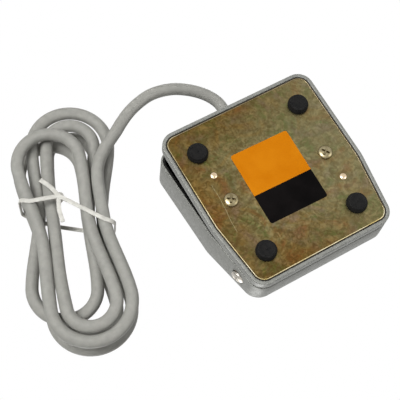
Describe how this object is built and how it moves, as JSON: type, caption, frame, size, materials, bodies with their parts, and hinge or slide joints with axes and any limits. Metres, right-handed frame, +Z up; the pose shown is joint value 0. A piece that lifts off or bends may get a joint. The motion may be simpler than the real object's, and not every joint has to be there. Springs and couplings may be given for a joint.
{
  "type": "foot switch pedal",
  "caption": "Cast foot switch for a machine: a wedge pedal hinged at the heel over a shallow base closed by a steel plate on rubber feet, with its cord coiled and tied",
  "frame": {"origin": "middle of the foot switch's own footprint, on the floor that its rubber feet stand on; the cord isn't counted", "axes": "+Z up, +Y from the hinge at the heel to the toe end where the cord leaves, +X to the side where the coiled cord lies"},
  "size_m": [0.2033, 0.1507, 0.0524],
  "materials": {
    "grey_casting": "hammered grey paint",
    "plate_zinc": "yellow passivated zinc",
    "foot_rubber": "matt black",
    "screw_zinc": "zinc plated",
    "rivet_brass": "worn",
    "label_orange": "satin film",
    "label_black": "satin film",
    "steel": "bright zinc plated",
    "spring_steel": "oiled",
    "case_black": "moulded phenolic",
    "contact_brass": "tinned",
    "plunger_red": "moulded",
    "core_brown": "insulation",
    "core_blue": "insulation",
    "core_green": "insulation",
    "bush_bronze": "sintered",
    "cord_grey": "satin sheath",
    "bushing_black": "moulded",
    "tie_white": "flat strip"
  },
  "bodies": {
    "base": {"base_housing": "grey_casting", "base_plate": "plate_zinc", "foot_toe_right": "foot_rubber", "foot_toe_left": "foot_rubber", "foot_heel_right": "foot_rubber", "foot_heel_left": "foot_rubber", "plate_screws": "screw_zinc", "plate_rivets": "rivet_brass", "label_upper": "label_orange", "label_lower": "label_black", "carrier_plate": "steel", "spring_post": "steel", "return_spring": "spring_steel", "switch_case": "case_black", "switch_screws": "steel", "switch_terminals": "contact_brass", "earth_screw": "contact_brass", "wire_live": "core_brown", "wire_switched": "core_blue", "wire_earth": "core_green", "cord_clamp": "steel", "clamp_screws": "steel", "rest_stops": "foot_rubber", "pivot_screws": "steel", "cord_inner": "cord_grey", "cord_bushing": "bushing_black", "cord_lead": "cord_grey", "cord_hank": "cord_grey", "cord_tie": "tie_white"},
    "pedal": {"pedal_cover": "grey_casting", "hinge_bushes": "bush_bronze", "actuator_screw": "steel", "lock_nut": "steel", "stop_pads": "foot_rubber"},
    "lever": {"switch_lever": "steel"},
    "plunger": {"switch_plunger": "plunger_red"}
  },
  "joints": [
    {"name": "pedal_hinge", "type": "hinge", "parent": "base", "child": "pedal", "pos_m": [0, -0.036, 0.0206], "axis": [-1, 0, 0], "range_deg": [0, 6], "stiffness_Nm_per_rad": 5.7, "springref_deg": -10.03, "deforming": ["return_spring"]},
    {"name": "lever_hinge", "type": "hinge", "parent": "base", "child": "lever", "pos_m": [0, -0.0275, 0.0238], "axis": [-1, 0, 0], "range_deg": [0, 8.5]},
    {"name": "plunger_slide", "type": "slide", "parent": "base", "child": "plunger", "axis": [0, 0, -1], "range_m": [0, 0.00128]}
  ],
  "couplings": [
    {"joint": "lever_hinge", "follows": "pedal_hinge", "ratio": 1.38},
    {"joint": "plunger_slide", "follows": "pedal_hinge", "m_per_rad": 0.0118}
  ]
}
